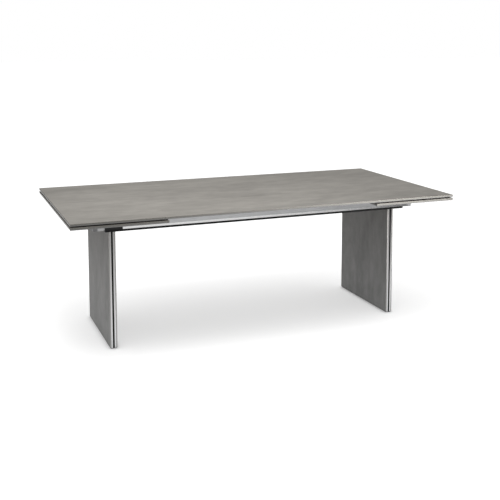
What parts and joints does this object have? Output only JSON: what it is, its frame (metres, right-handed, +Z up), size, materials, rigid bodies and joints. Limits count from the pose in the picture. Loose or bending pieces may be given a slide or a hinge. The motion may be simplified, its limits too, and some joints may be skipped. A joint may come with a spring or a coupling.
{
  "type": "extendable dining table",
  "caption": "Rectangular extendable dining table with a concrete-look ceramic top, slab legs, a steel underframe and end leaves stored under the top.",
  "frame": {"origin": "on the floor under the middle of the closed table", "axes": "+Z up, X along the length of the table, Y across it, the front at -Y"},
  "size_m": [2.2, 1.1, 0.75],
  "materials": {
    "ceramic": "sintered ceramic, matt concrete look",
    "leg_ceramic": "sintered ceramic, matt concrete look, upright",
    "backing": "back-lacquered toughened glass, opaque grey",
    "black_steel": "black powder coat",
    "apron_metal": "light grey powder coat",
    "bright_aluminium": "bright brushed aluminium extrusion",
    "deck_aluminium": "mill-finish aluminium",
    "panel_metal": "brushed aluminium panel with satin edges",
    "core_board": "black fibreboard",
    "black_plastic": "black moulded nylon",
    "cap_plastic": "light grey moulded cap",
    "nylon": "black nylon",
    "rubber": "black rubber",
    "zinc_steel": "zinc-plated steel"
  },
  "bodies": {
    "frame": {"top_ceramic": "ceramic", "top_glass": "backing", "deck_rails": "deck_aluminium", "deck_crossbars": "deck_aluminium", "deck_screws": "zinc_steel", "guide_pads": "nylon", "centre_stops": "rubber", "corner_spacers": "black_steel", "side_beam_front": "black_steel", "side_beam_back": "black_steel", "slide_profile_front": "bright_aluminium", "slide_profile_back": "bright_aluminium", "apron_front": "apron_metal", "apron_back": "apron_metal", "crossmember_left": "black_steel", "latch_housing_left": "black_plastic", "latch_spring_left": "zinc_steel", "leg_outer_ceramic_left": "leg_ceramic", "leg_outer_panel_left": "panel_metal", "leg_core_uprights_left": "black_steel", "leg_core_board_left": "core_board", "leg_inner_panel_left": "panel_metal", "leg_inner_ceramic_left": "leg_ceramic", "leg_top_plate_left": "black_steel", "leg_foot_plate_left": "black_steel", "leg_glides_left": "nylon", "leg_bolts_left": "zinc_steel", "crossmember_right": "black_steel", "latch_housing_right": "black_plastic", "latch_spring_right": "zinc_steel", "leg_outer_ceramic_right": "leg_ceramic", "leg_outer_panel_right": "panel_metal", "leg_core_uprights_right": "black_steel", "leg_core_board_right": "core_board", "leg_inner_panel_right": "panel_metal", "leg_inner_ceramic_right": "leg_ceramic", "leg_top_plate_right": "black_steel", "leg_foot_plate_right": "black_steel", "leg_glides_right": "nylon", "leg_bolts_right": "zinc_steel"},
    "carriage_left": {"slide_rails_left": "bright_aluminium", "rail_caps_left": "cap_plastic", "carriage_crossbar_left": "black_steel", "carriage_arms_left": "black_steel"},
    "link_outer_left": {"lift_link_outer_left": "black_steel"},
    "link_inner_left": {"lift_link_inner_left": "black_steel"},
    "leaf_left": {"leaf_ceramic_left": "ceramic", "leaf_glass_left": "backing", "leaf_battens_left": "deck_aluminium"},
    "latch_left": {"latch_plunger_left": "black_plastic"},
    "carriage_right": {"slide_rails_right": "bright_aluminium", "rail_caps_right": "cap_plastic", "carriage_crossbar_right": "black_steel", "carriage_arms_right": "black_steel"},
    "link_outer_right": {"lift_link_outer_right": "black_steel"},
    "link_inner_right": {"lift_link_inner_right": "black_steel"},
    "leaf_right": {"leaf_ceramic_right": "ceramic", "leaf_glass_right": "backing", "leaf_battens_right": "deck_aluminium"},
    "latch_right": {"latch_plunger_right": "black_plastic"}
  },
  "joints": [
    {"name": "leaf_slide_left", "type": "slide", "parent": "frame", "child": "carriage_left", "axis": [-1, 0, 0], "range_m": [0, 0.507]},
    {"name": "leaf_lift_left", "type": "hinge", "parent": "carriage_left", "child": "link_outer_left", "pos_m": [-0.905, 0, 0.7], "axis": [0, 1, 0], "range_deg": [0, 7]},
    {"name": "link_turn_left", "type": "hinge", "parent": "carriage_left", "child": "link_inner_left", "pos_m": [-0.68, 0, 0.7], "axis": [0, 1, 0], "range_deg": [0, 7]},
    {"name": "leaf_level_left", "type": "hinge", "parent": "link_outer_left", "child": "leaf_left", "pos_m": [-0.95464, 0, 0.706], "axis": [0, -1, 0], "range_deg": [0, 7]},
    {"name": "latch_press_left", "type": "slide", "parent": "frame", "child": "latch_left", "axis": [0, 0, 1], "range_m": [0, 0.005], "stiffness_N_per_m": 400, "springref_m": -0.004, "deforming": ["latch_spring_left"]},
    {"name": "leaf_slide_right", "type": "slide", "parent": "frame", "child": "carriage_right", "axis": [1, 0, 0], "range_m": [0, 0.507]},
    {"name": "leaf_lift_right", "type": "hinge", "parent": "carriage_right", "child": "link_outer_right", "pos_m": [0.905, 0, 0.7], "axis": [0, -1, 0], "range_deg": [0, 7]},
    {"name": "link_turn_right", "type": "hinge", "parent": "carriage_right", "child": "link_inner_right", "pos_m": [0.68, 0, 0.7], "axis": [0, -1, 0], "range_deg": [0, 7]},
    {"name": "leaf_level_right", "type": "hinge", "parent": "link_outer_right", "child": "leaf_right", "pos_m": [0.95464, 0, 0.706], "axis": [0, 1, 0], "range_deg": [0, 7]},
    {"name": "latch_press_right", "type": "slide", "parent": "frame", "child": "latch_right", "axis": [0, 0, 1], "range_m": [0, 0.005], "stiffness_N_per_m": 400, "springref_m": -0.004, "deforming": ["latch_spring_right"]}
  ],
  "couplings": [
    {"joint": "link_turn_left", "follows": "leaf_lift_left", "ratio": 1},
    {"joint": "leaf_level_left", "follows": "leaf_lift_left", "ratio": 1},
    {"joint": "link_turn_right", "follows": "leaf_lift_right", "ratio": 1},
    {"joint": "leaf_level_right", "follows": "leaf_lift_right", "ratio": 1}
  ]
}
